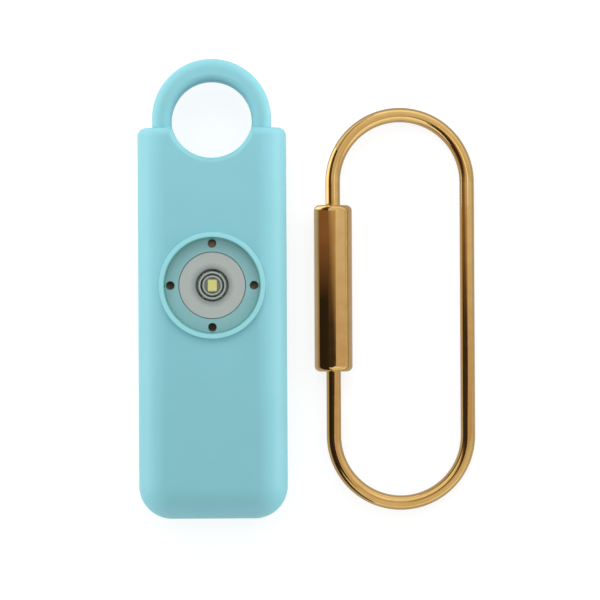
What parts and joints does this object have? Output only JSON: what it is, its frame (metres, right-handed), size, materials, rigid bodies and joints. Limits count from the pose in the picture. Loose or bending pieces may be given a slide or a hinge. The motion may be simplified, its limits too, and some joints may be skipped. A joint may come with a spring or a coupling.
{
  "type": "personal safety alarm",
  "caption": "Slim aqua personal alarm with a pull-out bow, a round siren window with a light in its middle, and a long brass key ring closed by a screw sleeve.",
  "frame": {"origin": "on the back face of the housing, on the axis of the siren window", "axes": "+Z out of the front face, +Y along the housing to the pull bow, +X to the key ring beside it; the alarm lies on its back and the key ring lies on the same surface"},
  "size_m": [0.0717, 0.0977, 0.016],
  "materials": {
    "housing_plastic": "soft-touch satin, aqua",
    "rim_plastic": "polished, light aqua",
    "window_plastic": "fine matt, grey aqua",
    "frosted_plastic": "frosted white",
    "clear_lens": "polished clear",
    "mirror_plating": "mirror bright",
    "white_package": "moulded white",
    "phosphor": "yellow silicone over phosphor",
    "white_board": "white solder mask",
    "siren_brass": "rolled",
    "siren_ceramic": "silvered ceramic",
    "red_insulation": "insulated wire",
    "black_insulation": "insulated wire",
    "green_board": "green solder mask",
    "black_epoxy": "moulded epoxy",
    "ferrite": "sintered ferrite",
    "copper_wire": "enamelled copper",
    "can_aluminium": "sleeved can",
    "black_nylon": "moulded",
    "cell_steel": "nickel-plated",
    "spring_steel": "nickel-plated strip and wire",
    "screw_steel": "zinc-plated",
    "white_nylon": "moulded",
    "polished_brass": "polished, lacquered"
  },
  "bodies": {
    "alarm": {"front_shell": "housing_plastic", "rear_shell": "housing_plastic", "siren_rim": "rim_plastic", "sound_plate": "window_plastic", "diffuser": "frosted_plastic", "led_lens": "clear_lens", "reflector": "mirror_plating", "led_body": "white_package", "led_phosphor": "phosphor", "light_board": "white_board", "piezo_diaphragm": "siren_brass", "piezo_ceramic": "siren_ceramic", "piezo_leads": "red_insulation", "light_leads": "black_insulation", "main_board": "green_board", "controller_chip": "black_epoxy", "driver_transistor": "black_epoxy", "chip_resistors": "black_epoxy", "coil_core": "ferrite", "coil_winding": "copper_wire", "storage_capacitor": "can_aluminium", "battery_holder": "black_nylon", "switch_body": "black_nylon", "lower_cell": "cell_steel", "upper_cell": "cell_steel", "lower_contact": "spring_steel", "upper_contact": "spring_steel", "switch_spring": "spring_steel", "case_screws": "screw_steel"},
    "bow": {"pull_bow": "housing_plastic"},
    "plunger": {"switch_plunger": "white_nylon"},
    "key_ring": {"ring_wire": "polished_brass", "wire_stop": "polished_brass"},
    "sleeve": {"lock_sleeve": "polished_brass", "sleeve_bush": "polished_brass"}
  },
  "joints": [
    {"name": "bow_pull", "type": "slide", "parent": "alarm", "child": "bow", "axis": [0, 1, 0], "range_m": [0, 0.03]},
    {"name": "plunger_release", "type": "slide", "parent": "alarm", "child": "plunger", "axis": [0, 1, 0], "range_m": [0, 0.0012], "deforming": ["switch_spring"]},
    {"name": "ring_lift", "type": "slide", "parent": "alarm", "child": "key_ring", "axis": [0, 0, 1], "range_m": [0, 0.03]},
    {"name": "sleeve_slide", "type": "slide", "parent": "key_ring", "child": "sleeve", "axis": [0, -1, 0], "range_m": [0, 0.013]}
  ],
  "couplings": [
    {"joint": "plunger_release", "follows": "bow_pull", "ratio": 0.04}
  ]
}
